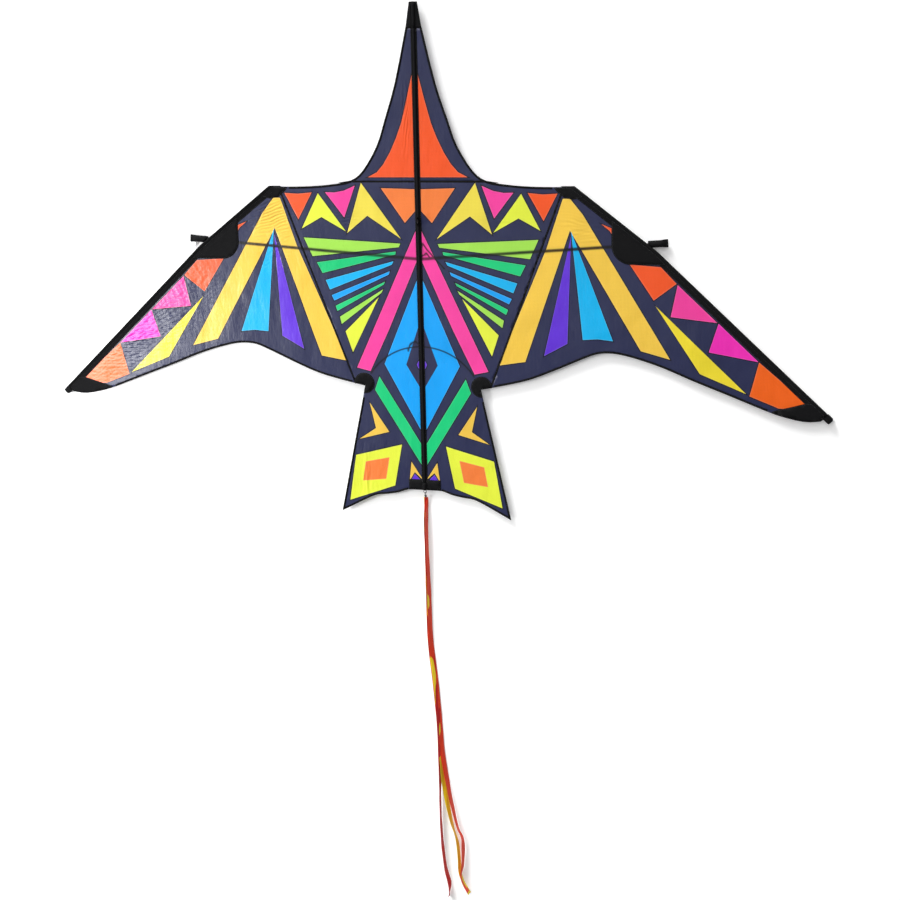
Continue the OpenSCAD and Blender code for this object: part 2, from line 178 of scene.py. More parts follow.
def ripstop(name, color, gloss=0.33, paints_rod_shade=True):
    """Thin coated nylon: fine weave, ripstop grid and soft creases; on the sail's print, the shade of the
    rods and ties behind the cloth is painted into the colour as darker lines.
    """
    m = Nodes(name)
    grid = m.grid(0.005, 0.0005)
    cloudy = m.noise(9, 3)
    base = m.tint(color, 0.16, m.math("MULTIPLY", cloudy, 0.9))
    lined = m.new("ShaderNodeMix", data_type="RGBA", blend_type="MULTIPLY")
    m.link(m.math("MULTIPLY", grid, 0.5), lined.inputs[0])
    m.link(base, lined.inputs[6])
    lined.inputs[7].default_value = (0.72, 0.72, 0.76, 1)
    shown = lined.outputs[2]
    # painted shade: the colour is multiplied by the painted shade of the rods and ties behind the cloth
    if paints_rod_shade:
        shown = m.multiply(shown, m.new("ShaderNodeAttribute", attribute_name="through").outputs["Color"])
    m.link(shown, m.shader.inputs["Base Color"])
    creases = m.noise(26, 4, stretch=(1.0, 0.35, 1), turn=0.6, roughness=0.62)
    folds = m.noise(7, 2, stretch=(1, 0.5, 1), turn=-0.5)
    weave = m.noise(900, 1)
    normal = m.bump(folds, 0.006)
    normal = m.bump(creases, 0.0022, under=normal)
    normal = m.bump(grid, 0.00012, under=normal)
    normal = m.bump(weave, 0.00006, under=normal)
    m.link(normal, m.shader.inputs["Normal"])
    m.link(m.spread(creases, gloss - 0.08, gloss + 0.1), m.shader.inputs["Roughness"])
    m.set(Specular_IOR_Level=0.45)
    return m.material


def webbing(name):
    """Plain-woven black tape: over-and-under ribs, a little lint and wear."""
    m = Nodes(name)
    color, pitch = (0.003, 0.003, 0.0035), 0.0016
    x, y, _ = m.axes()
    a = m.math("SINE", m.math("MULTIPLY", x, 2 * math.pi / pitch))
    b = m.math("SINE", m.math("MULTIPLY", y, 2 * math.pi / pitch))
    weave = m.math("MULTIPLY", a, b)
    worn = m.noise(60, 4, roughness=0.6)
    lint = m.new("ShaderNodeMix", data_type="RGBA")
    m.link(m.math("MULTIPLY", worn, 0.6), lint.inputs[0])
    lint.inputs[6].default_value = (*color, 1)
    lint.inputs[7].default_value = (*[c * 1.9 + 0.002 for c in color], 1)
    m.link(lint.outputs[2], m.shader.inputs["Base Color"])
    normal = m.bump(m.noise(40, 3), 0.0008)
    m.link(m.bump(weave, 0.0002, under=normal), m.shader.inputs["Normal"])
    m.link(m.spread(worn, 0.62, 0.9), m.shader.inputs["Roughness"])
    m.set(Specular_IOR_Level=0.1)
    return m.material


def braid(name, color=(0.012, 0.012, 0.013)):
    """Braided cord: crossing diagonal strands."""
    m = Nodes(name)
    x, y, z = m.axes()
    pitch = 0.0011
    along = m.math("ADD", x, m.math("ADD", y, z))
    across = m.math("SUBTRACT", x, m.math("SUBTRACT", y, z))
    a = m.math("SINE", m.math("MULTIPLY", along, 2 * math.pi / pitch))
    b = m.math("SINE", m.math("MULTIPLY", across, 2 * math.pi / pitch))
    strands = m.math("MAXIMUM", a, b)
    m.link(m.tint(color, 0.5, strands), m.shader.inputs["Base Color"])
    m.link(m.bump(strands, 0.00025), m.shader.inputs["Normal"])
    m.link(m.spread(m.noise(300), 0.6, 0.85), m.shader.inputs["Roughness"])
    m.set(Sheen_Weight=0.2, Specular_IOR_Level=0.3)
    return m.material


def fibre(name):
    """Satin fibre rod: fine lengthwise streaks and handling marks."""
    m = Nodes(name)
    streaks = m.noise(90, 4, stretch=(0.06, 6, 6))
    marks = m.noise(35, 5, roughness=0.7)
    m.link(m.tint((0.02, 0.02, 0.022), 0.45, streaks), m.shader.inputs["Base Color"])
    m.link(m.bump(streaks, 0.0001), m.shader.inputs["Normal"])
    m.link(m.spread(marks, 0.28, 0.5), m.shader.inputs["Roughness"])
    m.set(Coat_Weight=0.2, Coat_Roughness=0.3)
    return m.material


def vinyl(name):
    """Soft moulded vinyl: slight orange peel and dust."""
    m = Nodes(name)
    dust = m.noise(70, 5, roughness=0.65)
    m.link(m.tint((0.024, 0.024, 0.026), 0.5, dust), m.shader.inputs["Base Color"])
    m.link(m.bump(m.noise(700, 2), 0.00012), m.shader.inputs["Normal"])
    m.link(m.spread(dust, 0.3, 0.55), m.shader.inputs["Roughness"])
    return m.material


def metal(name, color=(0.62, 0.63, 0.65), low=0.16, high=0.38):
    """Plated metal: brushed streaks and small scratches."""
    m = Nodes(name)
    streaks = m.noise(260, 4, stretch=(1, 6, 1), turn=0.4)
    m.link(m.tint(color, 0.3, m.noise(120, 4)), m.shader.inputs["Base Color"])
    m.link(m.bump(streaks, 0.00006), m.shader.inputs["Normal"])
    m.link(m.spread(streaks, low, high), m.shader.inputs["Roughness"])
    m.set(Metallic=1.0)
    return m.material


# Printed colours, as linear light
INK = {
    "ground": (0.020, 0.024, 0.072),
    "line": (0.002, 0.002, 0.004),
    "flame": (0.84, 0.088, 0.014),
    "orange": (0.84, 0.20, 0.042),
    "tangerine": (0.84, 0.12, 0.008),
    "gold": (0.80, 0.51, 0.065),
    "amber": (0.85, 0.545, 0.062),
    "sun": (0.80, 0.66, 0.068),
    "yellow": (0.82, 0.67, 0.030),
    "lemon": (0.73, 0.81, 0.050),
    "lime": (0.34, 0.70, 0.075),
    "green": (0.004, 0.55, 0.18),
    "cyan": (0.0, 0.42, 0.80),
    "blue": (0.0, 0.33, 0.84),
    "violet": (0.115, 0.028, 0.62),
    "pink": (0.84, 0.048, 0.32),
    "magenta": (0.84, 0.024, 0.44),
}

# The print on the right half, mirrored on the left: colour and corners in millimetres.
# Later shapes lie over earlier ones, and shapes that end at the spine run on under its sleeve.
PRINT = [
    ("flame", [(0, 740), (13, 691), (33, 612), (55, 531), (76, 478), (100, 428), (126, 386), (152, 357),
               (187, 339), (0, 339)]),
    ("orange", [(0, 296), (139, 300), (51, 175), (0, 230)]),
    ("sun", [(214, 319), (274, 136), (194, 200), (68, 117)]),
    ("pink", [(354, 285), (318, 284), (280, 291), (238, 309), (283, 193)]),
    ("lemon", [(382, 281), (451, 151), (372, 194), (279, 142)]),
    ("flame", [(513, 282), (460, 279), (406, 284), (463, 185)]),
    ("lime", [(444, 118), (71, 99), (77, 86), (413, 49)]),
    ("green", [(397, 26), (89, 70), (91, 59), (377, -14)]),
    ("cyan", [(366, -40), (99, 34), (106, 21), (351, -76)]),
    ("blue", [(345, -97), (114, -3), (119, -16), (335, -117)]),
    ("green", [(331, -137), (134, -42), (139, -53), (324, -156)]),
    ("lime", [(315, -178), (142, -71), (150, -85), (309, -205)]),
    ("lemon", [(295, -233), (160, -101), (269, -312)]),
    ("pink", [(0, 170), (255, -371), (202, -383), (123, -220), (0, 58)]),
    ("blue", [(0, -8), (146, -354), (0, -625)]),
    ("ground", [(0, -179), (61, -354), (0, -456)]),
    ("violet", [(0, -332), (14, -340), (20, -352), (14, -366), (0, -376)]),
    ("green", [(168, -403), (187, -455), (0, -760), (0, -677)]),
    ("gold", [(210, -506), (136, -618), (256, -651), (188, -605)]),
    ("lemon", [(272, -716), (87, -666), (119, -831), (303, -899)]),
    ("orange", [(234, -740), (138, -719), (154, -806), (248, -818)]),
    ("gold", [(51, -732), (60, -808), (39, -773), (6, -804)]),
    ("violet", [(39, -780), (55, -808), (14, -806)]),
    ("amber", [(532, 264), (474, 89), (292, -346), (394, -329), (558, 152), (605, 75), (816, -276),
              (921, -304), (604, 208), (558, 264)]),
    ("cyan", [(562, 150), (716, -243), (661, -237), (606, -241)]),
    ("violet", [(562, 132), (550, -257), (464, -305)]),
    ("flame", [(670, 176), (715, 158), (715, 126), (700, 152)]),
    ("flame", [(882, 27), (772, 35), (859, -92), (938, -31)]),
    ("pink", [(942, -35), (920, -150), (1084, -167)]),
    ("magenta", [(1088, -169), (1057, -273), (1231, -303)]),
    ("tangerine", [(1233, -304), (1204, -428), (1307, -468), (1370, -468), (1403, -447)]),
    ("yellow", [(866, -112), (1192, -420), (1028, -353)]),
]
LINE_W = 3.2
RIM_W = 1.8


# ---------- outlines ----------

def loops_of(node):
    """The outlines of a flat CAD node's upper face, in millimetres, anticlockwise."""
    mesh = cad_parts[node].data
    spots = [(round(v.co.x / MM, 2), round(v.co.y / MM, 2)) for v in mesh.vertices]
    after = {}
    for poly in mesh.polygons:
        if poly.normal.z > 0.9:
            ring = [spots[i] for i in poly.vertices]
            for a, b in zip(ring, ring[1:] + ring[:1]):
                if a == b:
                    continue
                if after.get(b) and a in after[b]:
                    after[b].remove(a)
                else:
                    after.setdefault(a, []).append(b)
    loops = []
    while any(after.values()):
        start = next(a for a, found in after.items() if found)
        loop, spot = [], start
        while after.get(spot):
            loop.append(spot)
            spot = after[spot].pop()
        loops.append(loop)
    return loops


def inside(points, loop):
    """For each point, whether it is inside the closed loop."""
    x, y = points[:, 0], points[:, 1]
    found = np.zeros(len(points), bool)
    for (x0, y0), (x1, y1) in zip(loop, loop[1:] + loop[:1]):
        crosses = (y0 > y) != (y1 > y)
        at = (x1 - x0) * (y - y0) / ((y1 - y0) or 1e-9) + x0
        found ^= crosses & (x < at)
    return found


def moved_edge(loop, by):
    """The closed loop with every side moved outwards by a distance; sharp corners are cut short."""
    area = sum(a[0] * b[1] - b[0] * a[1] for a, b in zip(loop, loop[1:] + loop[:1]))
    sign = 1 if area > 0 else -1
    out = []
    for i, p in enumerate(loop):
        before, after = Vector(loop[i - 1]), Vector(loop[(i + 1) % len(loop)])
        here = Vector(p)
        d0, d1 = (here - before).normalized(), (after - here).normalized()
        n0, n1 = Vector((d0.y, -d0.x)) * sign, Vector((d1.y, -d1.x)) * sign
        reach = (n0 + n1) / max(1 + n0.dot(n1), 0.02)
        if reach.length > 4:
            reach = reach.normalized() * 4
        out.append(tuple(here + reach * by))
    return out


def divided(a, b, step):
    """Points from a up to but not including b, no further apart than step."""
    a, b = np.array(a, float), np.array(b, float)
    n = max(1, math.ceil(np.linalg.norm(b - a) / step))
    return [a + (b - a) * i / n for i in range(n)]


def near_any(points, segments, limit):
    """For each point, whether it is nearer than limit to any segment."""
    found = np.zeros(len(points), bool)
    for a, b in segments:
        a, b = np.array(a), np.array(b)
        d = b - a
        t = np.clip(((points - a) @ d) / max(d @ d, 1e-9), 0, 1)
        found |= np.linalg.norm(points - a - t[:, None] * d, axis=1) < limit
    return found


# ---------- the cloth's own relief ----------

def smooth(value, low, high):
    t = np.clip((value - low) / (high - low), 0, 1)
    return t * t * (3 - 2 * t)


def edge_distance(x, y):
    """How far each spot, on either half, is inside the leading edge."""
    x = np.abs(x)
    far = np.full(x.shape, 1e9)
    for a, b in ((SHOULDER, KNEE), (KNEE, TIP)):
        d = Vector((b[0] - a[0], b[1] - a[1])).normalized()
        far = np.minimum(far, (x - a[0]) * d.y - (y - a[1]) * d.x)
    return far


def waves(x, y, angle, pitch):
    """Parallel ridges, unevenly spaced, from -1 to 1."""
    c, s = math.cos(angle), math.sin(angle)
    across, along = -x * s + y * c, x * c + y * s
    drift = np.array([noise.noise(Vector((a / 70, b / 26, 4.0))) for a, b in zip(along, across)])
    return np.sin(2 * math.pi * (across / pitch + 0.9 * drift))


def lumps(x, y, size, seed):
    return np.array([noise.noise(Vector((a / size, b / size, seed))) for a, b in zip(x, y)])


def segment_distance(x, y, a, b):
    d = np.array(b, float) - a
    t = np.clip(((x - a[0]) * d[0] + (y - a[1]) * d[1]) / (d @ d), 0, 1)
    return np.hypot(x - a[0] - t * d[0], y - a[1] - t * d[1])


def blob(x, y, zone):
    """1 at the middle of an oval zone, falling off to 0 outside it."""
    cx, cy, along, across, turn = zone[:5]
    c, s = math.cos(math.radians(turn)), math.sin(math.radians(turn))
    u, v = (x - cx) * c + (y - cy) * s, -(x - cx) * s + (y - cy) * c
    return np.exp(-((u / along) ** 2 + (v / across) ** 2))


# Oval zones of fine puckers: centre, half length, half width and turn of the zone, then the ridges'
# direction, pitch and height
PUCKERS = [
    (-575, 205, 120, 85, 0, 16, 11, 1.15),
    (-560, 60, 90, 80, 0, 12, 12, 0.45),
    (-1080, -165, 300, 100, 38, 30, 15, 1.0),
    (-1120, -240, 270, 95, 32, 3, 13, 0.9),
    (-1000, -80, 160, 80, 38, 118, 17, 0.55),
    (575, 190, 95, 70, 0, -9, 12, 0.4),
    (640, 120, 80, 60, 0, 8, 12, 0.35),
    (-36, 560, 120, 17, 90, 82, 9.5, 0.9),
    (-300, 190, 130, 34, 4, 6, 11, 0.5),
    (300, 190, 130, 34, -4, -6, 11, 0.4),
    (-225, -800, 100, 55, 84, 86, 15, 0.6),
    (-420, 40, 60, 120, 0, 100, 16, 0.3),
]


def relief(x, y):
    """Height of the cloth above its flat plane, in millimetres."""
    x, y = np.asarray(x, float), np.asarray(y, float)
    a = np.abs(x)
    held = smooth(edge_distance(x, y), 28, 80) * smooth(a, 8, 60)
    sewn = smooth(segment_distance(a, y, (536, 306), (262, -433)), 3, 18) * smooth(np.abs(y - 324), 3, 14)
    sewn = sewn * smooth(np.hypot(a - 770, y - 90), 95, 130) * smooth(np.hypot(a - 262, y + 433), 26, 45)
    fine = smooth(edge_distance(x, y), 28, 40) * smooth(a, 10, 17) * sewn
    high = 1.6 * lumps(x, y, 160, 1.0) * held + 0.5 * lumps(x, y, 45, 7.0) * held * sewn
    for zone in PUCKERS:
        turn, pitch, height = zone[5:]
        weight = blob(x, y, zone)
        here = weight > 0.02
        if here.any():
            ridges = waves(x[here], y[here], math.radians(turn), pitch)
            high[here] += height * fine[here] * weight[here] * ridges
    crease = np.exp(-((x + 232 - 0.03 * (y + 800)) / 3.2) ** 2) * smooth(-y, 700, 760)
    return high + 1.1 * crease


# Half widths, in millimetres, of the painted shade lines that the spreader, arch and ties cast through the
# cloth
SPREADER_SHADE, ARCH_SHADE, TIE_SHADE = 6.2, 3.2, 2.8


def band(off, half_width):
    """1 on a line and 0 away from it, with a steep side at half_width."""
    return np.exp(-((off / half_width) ** 4))


def painted_rod_shade(x, y):
    """Painted shade: a colour factor from 1 down to almost 0 over the rods and cords behind the cloth,
    standing in for their shade seen through it.
    """
    a = np.abs(x)
    off = y - SPREADER_Y - a * math.tan(SPREADER_RISE)
    deep = 0.99 - 0.1 * smooth(-a, -420, -100)
    light = 1 - deep * band(off, SPREADER_SHADE) * (a < 850)
    ring = np.abs(np.hypot(x, y - (ARCH_TOP_Y - ARCH_R)) - ARCH_R)
    on_arch = (y > ARCH_TOP_Y - ARCH_R * 0.46) & (a < 205)
    light = np.where(on_arch, light * (1 - 0.97 * band(ring, ARCH_SHADE)), light)
    for strand in TIE_STRANDS:
        for p, q in zip(strand, strand[1:]):
            off = segment_distance(x, y, p[:2], q[:2])
            light = np.minimum(light, 1 - 0.95 * band(off, TIE_SHADE))
    return light


# Loose ends of the ties behind the sail: x, y and height in millimetres
TIE_STRANDS = [
    [(3, 50, 14), (14, 101, 11), (30, 78, 6), (47, 60, 2.5), (58, 45, 1.2), (76, 29, 1.0), (94, 9, 1.0)],
    [(6, 48, 3), (27, 67, 2.5), (41, 48, 1.2)],
    [(0, -286, 6), (-23, -263, 4), (-44, -276, 2.5), (-53, -301, 1.5)],
]


# ---------- meshes ----------

def new_piece(name, verts, faces, materials, indices=None):
    mesh = bpy.data.meshes.new(name)
    mesh.from_pydata([tuple(v) for v in verts], [], [tuple(f) for f in faces])
    for material in materials:
        mesh.materials.append(material)
    if indices is not None:
        mesh.polygons.foreach_set("material_index", np.asarray(indices, np.int32))
    mesh.polygons.foreach_set("use_smooth", [True] * len(mesh.polygons))
    piece = bpy.data.objects.new(name, mesh)
    bpy.context.scene.collection.objects.link(piece)
    return piece


def thicken(piece, thickness):
    """Gives a sheet its thickness, half on each side."""
    solid = piece.modifiers.new("thickness", "SOLIDIFY")
    solid.thickness, solid.offset = thickness, 0


def file_piece(piece, node=None, body=None):
    """Hides the CAD node that a piece stands for, and hangs the piece on the body it rides on."""
    if node:
        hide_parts(node)
    if body:
        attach(piece, body)


def fold_with(piece):
    """Bakes a cloth piece's placement into its mesh."""
    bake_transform(piece)


def even_points(lo, hi, step):
    return np.array([(x + (step / 2 if i % 2 else 0), y)
                     for i, y in enumerate(np.arange(lo[1], hi[1], step * 0.87))
                     for x in np.arange(lo[0], hi[0], step)])


def triangulated(loops, lines, step, zones=()):
    """Triangles inside the outlines, with the given open or closed lines as edges and even points between.

    In each oval zone the points lie closer together, to carry its puckers.
    """
    points, edges, segments = [], [], []

    def add(line, closed):
        ends = line[1:] + line[:1] if closed else line[1:]
        first = len(points)
        for a, b in zip(line, ends):
            points.extend(divided(a, b, step))
            segments.append((a, b))
        if not closed:
            points.append(np.array(line[-1], float))
        count = len(points) - first
        edges.extend((first + i, first + i + 1) for i in range(count - 1))
        if closed:
            edges.append((first + count - 1, first))

    for loop in loops:
        add(loop, True)
    for line, closed in lines:
        add(line, closed)
    spots = np.array(points)
    lo, hi = spots.min(0), spots.max(0)
    grid = even_points(lo, hi, step)
    for zone in zones:
        reach = max(zone[2:4]) * 1.5
        low = np.maximum(lo, (zone[0] - reach, zone[1] - reach))
        high = np.minimum(hi, (zone[0] + reach, zone[1] + reach))
        if (low >= high).any():
            continue
        fine = even_points(low, high, zone[6] / 3)
        fine = fine[blob(fine[:, 0], fine[:, 1], zone) > 0.12]
        grid = np.vstack([grid[blob(grid[:, 0], grid[:, 1], zone) <= 0.12], fine])
    within = np.zeros(len(grid), bool)
    for loop in loops:
        within ^= inside(grid, loop)
    grid = grid[within]
    grid = grid[~near_any(grid, segments, step * 0.45 if not len(zones) else 1.6)]
    every = [Vector(p) for p in points] + [Vector(p) for p in grid]
    verts, _, faces, *_ = delaunay_2d_cdt(every, edges, [], 0, 1e-4)
    verts = np.array([tuple(v) for v in verts])
    faces = np.array([f for f in faces if len(f) == 3])
    middle = verts[faces].mean(1)
    keep = np.zeros(len(faces), bool)
    for loop in loops:
        keep ^= inside(middle, loop)
    faces = faces[keep]
    used = np.unique(faces)
    place = np.full(len(verts), -1)
    place[used] = np.arange(len(used))
    return verts[used], place[faces]


def mirrored(points, s):
    return [(s * x, y) for x, y in points]


def cloth(name, loops, material, lift, thickness, step):
    """A flat piece of cloth that lies on the sail and follows its relief."""
    flat, faces = triangulated(loops, [], step)
    z = SAIL_Z + relief(flat[:, 0], flat[:, 1]) + lift
    piece = new_piece(name, np.column_stack([flat, z]) * MM, faces, [material])
    thicken(piece, thickness * MM)
    fold_with(piece)
    return piece


def path_frames(points):
    """For each point of a 3-D line: the point, the way along it, and two directions across it."""
    pts = [Vector(p) for p in points]
    out, side = [], None
    for i, p in enumerate(pts):
        along = (pts[min(i + 1, len(pts) - 1)] - pts[max(i - 1, 0)]).normalized()
        if side is None:
            side = along.cross(Vector((0, 0, 1)))
            side = side.normalized() if side.length > 1e-3 else Vector((1, 0, 0))
        side = (side - along * side.dot(along)).normalized()
        out.append((p, along, side, along.cross(side)))
    return out


def rounded(points, per=6):
    """A smooth line through the points."""
    pts = [Vector(p) for p in points]
    out = []
    for i in range(len(pts) - 1):
        a, b, c, d = pts[max(i - 1, 0)], pts[i], pts[i + 1], pts[min(i + 2, len(pts) - 1)]
        for k in range(per):
            t = k / per
            out.append(0.5 * (2 * b + (c - a) * t + (2 * a - 5 * b + 4 * c - d) * t ** 2
                              + (3 * b - a - 3 * c + d) * t ** 3))
    return out + [pts[-1]]


def lofted(rings):
    """Vertices and faces of a closed skin over rings of equally many points."""
    n = len(rings[0])
    verts = [v for ring in rings for v in ring]
    faces = [(r * n + k, r * n + (k + 1) % n, (r + 1) * n + (k + 1) % n, (r + 1) * n + k)
             for r in range(len(rings) - 1) for k in range(n)]
    faces += [tuple(reversed(range(n))), tuple(range((len(rings) - 1) * n, len(rings) * n))]
    return verts, faces


def tube(name, points, radius, material, sides=12):
    """A round cord or tube along a 3-D line; radius is one number or one for each point."""
    radii = radius if hasattr(radius, "__len__") else [radius] * len(points)
    rings = [[(p + (u * math.cos(a) + v * math.sin(a)) * r) * MM
              for a in (2 * math.pi * k / sides for k in range(sides))]
             for (p, _, u, v), r in zip(path_frames(points), radii)]
    return new_piece(name, *lofted(rings), [material])


def stitches(name, line, material, lift, body=None, closed=False):
    """A row of thread dashes along a line on the sail, lying on the cloth."""
    pitch, length = 4.2, 2.9
    line = [Vector(p) for p in (line + line[:1] if closed else line)]
    verts, faces = [], []
    left = pitch / 2
    for a, b in zip(line, line[1:]):
        run = (b - a).length
        along = (b - a).normalized() if run > 0 else Vector((1, 0))
        across = Vector((-along.y, along.x))
        while left < run:
            spot = a + along * left
            base = len(verts)
            for t, w, h in ((-0.5, 0.1, 0.0), (-0.25, 0.32, 0.16), (0.25, 0.32, 0.16), (0.5, 0.1, 0.0)):
                c = spot + along * length * t
                verts += [(c.x + across.x * w, c.y + across.y * w, h), (c.x, c.y, h + 0.12),
                          (c.x - across.x * w, c.y - across.y * w, h), (c.x, c.y, h - 0.25)]
            for r in range(3):
                for k in range(4):
                    faces.append((base + 4 * r + k, base + 4 * r + (k + 1) % 4,
                                  base + 4 * r + 4 + (k + 1) % 4, base + 4 * r + 4 + k))
            faces += [(base + 3, base + 2, base + 1, base), (base + 12, base + 13, base + 14, base + 15)]
            left += pitch
        left -= run
    spots = np.array(verts)
    spots[:, 2] += SAIL_Z + relief(spots[:, 0], spots[:, 1]) + lift
    piece = new_piece(name, spots * MM, faces, [material])
    if body:
        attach(piece, body)
    else:
        fold_with(piece)
    return piece


# ---------- the sail ----------

def painted_shade_lines(s):
    """Lines along the rods and ties, so that the mesh has corners where the painted shade darkens the cloth.
    """
    lines = []
    for off in (-8, -5.6, -4, 0, 4, 5.6, 8):
        lines.append(([(s * x, SPREADER_Y + x * math.tan(SPREADER_RISE) + off)
                       for x in (4, 200, 420, 640, 850)], False))
    for off in (-4.2, -2.8, 0, 2.8, 4.2):
        r = ARCH_R + off
        turns = [math.radians(a) for a in range(2, 60, 4)]
        lines.append(([(s * r * math.sin(a), ARCH_TOP_Y - ARCH_R + r * math.cos(a)) for a in turns], False))
    for strand in TIE_STRANDS:
        if all(p[0] * s >= 0 for p in strand):
            for off in (-3.0, -1.4, 0, 1.4, 3.0):
                lines.append(([(p[0] + off, p[1] + off) for p in strand], False))
    return lines


def sail_panel(panel, side, inks):
    """One printed panel, from its CAD outline, with every printed shape cut into its mesh."""
    s = SIDES[side]
    node = f"{panel}_{side}"
    loops = loops_of(node)
    # the inner edge runs on under the spine's sleeve, and the outer one under the leading edge's
    loops = [[(s * 4 if abs(x) < 14 else x, y) for x, y in loop] for loop in loops]
    loops = [[(x, y) if edge_distance(np.array([x]), np.array([y]))[0] > SLEEVE_W + 1.5 or abs(x) < 600
              else (x + s * 2.2, y + 2.2) for x, y in loop] for loop in loops]
    box = np.array(loops[0])
    lo, hi = box.min(0) - 5, box.max(0) + 5
    shapes, lines = [], []
    for ink, corners in PRINT:
        shape = mirrored(corners, s)
        span = np.array(shape)
        if (span.max(0) < lo).any() or (span.min(0) > hi).any():
            continue
        line, rim = moved_edge(shape, LINE_W), moved_edge(shape, -RIM_W)
        shapes.append((ink, shape, line, rim))
        lines += [(shape, True), (line, True), (rim, True)]
    lines += painted_shade_lines(s)
    if s < 0:
        # along the crease in the left half of the tail
        lines += [([(-234 + off, -700), (-232 + off, -800), (-228 + off, -905)], False)
                  for off in (-5, -2.5, 0, 2.5, 5)]
    zones = [z for z in PUCKERS if z[0] * s > 0]
    flat, faces = triangulated(loops, lines, 13, zones)
    middle = flat[faces].mean(1)
    names = list(inks)
    ink_of = np.full(len(faces), names.index("ground"))
    for ink, shape, line, rim in shapes:
        within = inside(middle, shape)
        ink_of[inside(middle, line) & ~within & (ink_of == names.index("ground"))] = names.index("line")
        ink_of[within] = names.index(ink + "_rim" if ink + "_rim" in inks else ink)
        ink_of[within & inside(middle, rim)] = names.index(ink)
    z = SAIL_Z + relief(flat[:, 0], flat[:, 1])
    piece = new_piece(f"print_{node}", np.column_stack([flat, z]) * MM, faces, list(inks.values()), ink_of)
    # painted shade: the shade of the rods and ties through the cloth, stored per point as a colour factor
    light = piece.data.attributes.new("through", "FLOAT_COLOR", "POINT")
    keep = painted_rod_shade(flat[:, 0], flat[:, 1])
    light.data.foreach_set("color", np.column_stack([keep, keep, keep, np.ones(len(keep))]).ravel())
    thicken(piece, 0.25 * MM)
    file_piece(piece, node)
    fold_with(piece)


def lighter(color):
    return tuple(c + (1 - c) * 0.07 for c in color)


def make_sails():
    inks = {}
    for ink, color in INK.items():
        inks[ink] = ripstop("print_" + ink, color)
        if ink not in ("ground", "line"):
            inks[ink + "_rim"] = ripstop(f"print_{ink}_rim", lighter(color))
    for side in SIDES:
        for panel in ("head_sail", "body_sail", "wing_sail"):
            sail_panel(panel, side, inks)


def make_trim(black, thread):
    """Hems, seams and patches on the sail."""
    for side, s in SIDES.items():
        for hem in ("neck_hem", "trailing_hem"):
            node = f"{hem}_{side}"
            loops = loops_of(node)
            piece = cloth("cloth_" + node, loops, black, 0.45, 0.35, step=12)
            file_piece(piece, node)
        seam_top, seam_bottom = (536, 306), (262, -433)
        body = [(s * x, y) for x, y in (seam_top, seam_bottom)]
        across = Vector((seam_top[0] - seam_bottom[0], seam_top[1] - seam_bottom[1])).normalized()
        across = Vector((s * across.y, -across.x)) * 3.4
        strip = [(body[end][0] + way * across.x, body[end][1] + way * across.y)
                 for end, way in ((0, 1), (0, -1), (1, -1), (1, 1))]
        piece = cloth(f"seam_body_{side}", [strip], black, 0.5, 0.4, step=9)
        neck = mirrored([(5, 320.5), (254, 320.5), (300, 318), (300, 320), (254, 327), (5, 327)], s)
        piece = cloth(f"seam_neck_{side}", [neck], black, 0.5, 0.4, step=9)
        stitches(f"seam_stitch_{side}", [Vector(body[0]), Vector(body[1])], thread, 0.62)
        for patch in ("shoulder_patch", "connector_patch", "tip_patch", "notch_patch", "tail_patch"):
            node = f"{patch}_{side}"
            loop = max(loops_of(node), key=len)
            if patch == "tail_patch":
                loop = [(s * 5 if abs(x) < 14 else x, y) for x, y in loop]
            piece = cloth("cloth_" + node, [loop], black, 0.75, 0.7, step=14)
            file_piece(piece, node)
            row = stitches(f"{patch}_stitch_{side}", [Vector(p) for p in moved_edge(loop, -3)], thread,
                           1.12, closed=True)


# ---------- sleeves and pockets ----------

def along_leading_edge(s, start, end, step=14):
    """Points of the outer edge, and the way inwards at each, from start to end millimetres along it."""
    a, b, c = Vector(SHOULDER), Vector(KNEE), Vector(TIP)
    first, second = (b - a).length, (c - b).length
    out = []
    n = math.ceil((first + second - start - end) / step)
    for i in range(n + 1):
        d = start + (first + second - start - end) * i / n
        spot = a + (b - a).normalized() * d if d < first else b + (c - b).normalized() * (d - first)
        ease = smooth(np.array(d), first - 60, first + 60)
        along = ((b - a).normalized() * (1 - ease) + (c - b).normalized() * ease).normalized()
        out.append((Vector((s * spot.x, spot.y)), Vector((s * along.y, -along.x))))
    return out


def make_edge_sleeve(side, black, thread):
    """The leading edge's sleeve: round over the rod, then two flat layers sewn down on the sail."""
    s = SIDES[side]
    profile = []
    for a in range(50, 331, 20):
        profile.append((SLEEVE_R + (SLEEVE_R + 0.05) * math.cos(math.radians(a)),
                        (SLEEVE_R + 0.05) * math.sin(math.radians(a))))
    profile += [(12, -1.0), (17, -0.55), (29.5, -0.5), (29.8, 0.1), (29.5, 0.72), (20, 0.75), (12.5, 1.1)]
    rings = []
    along = Vector((s * (KNEE[0] - SHOULDER[0]), KNEE[1] - SHOULDER[1])).normalized()
    for k, (spot, inward) in enumerate(along_leading_edge(s, 0, 26)):
        wave = 0.25 * noise.noise(Vector((spot.x / 40, spot.y / 40, 2.0 * s)))
        ring = []
        for x, z in profile:
            p = spot + inward * (x + (wave if x > 25 else 0))
            if k == 0:
                # the shoulder's end is cut level with the sail's upper edge
                p -= along * (p.y - SHOULDER[1]) / along.y
            ring.append((p.x * MM, p.y * MM, (SAIL_Z + z + (wave * 0.5 if x < 12 else 0)) * MM))
        rings.append(ring)
    piece = new_piece(f"cloth_leading_edge_sleeve_{side}", *lofted(rings), [black])
    file_piece(piece, f"leading_edge_sleeve_{side}", f"wing_{side}")
    for row, inset in (("outer", 14.5), ("inner", 27)):
        line = [spot + inward * inset for spot, inward in along_leading_edge(s, 4, 30, 30)]
        dashes = stitches(f"sleeve_stitch_{row}_{side}", line, thread, 0.85, body=f"wing_{side}")


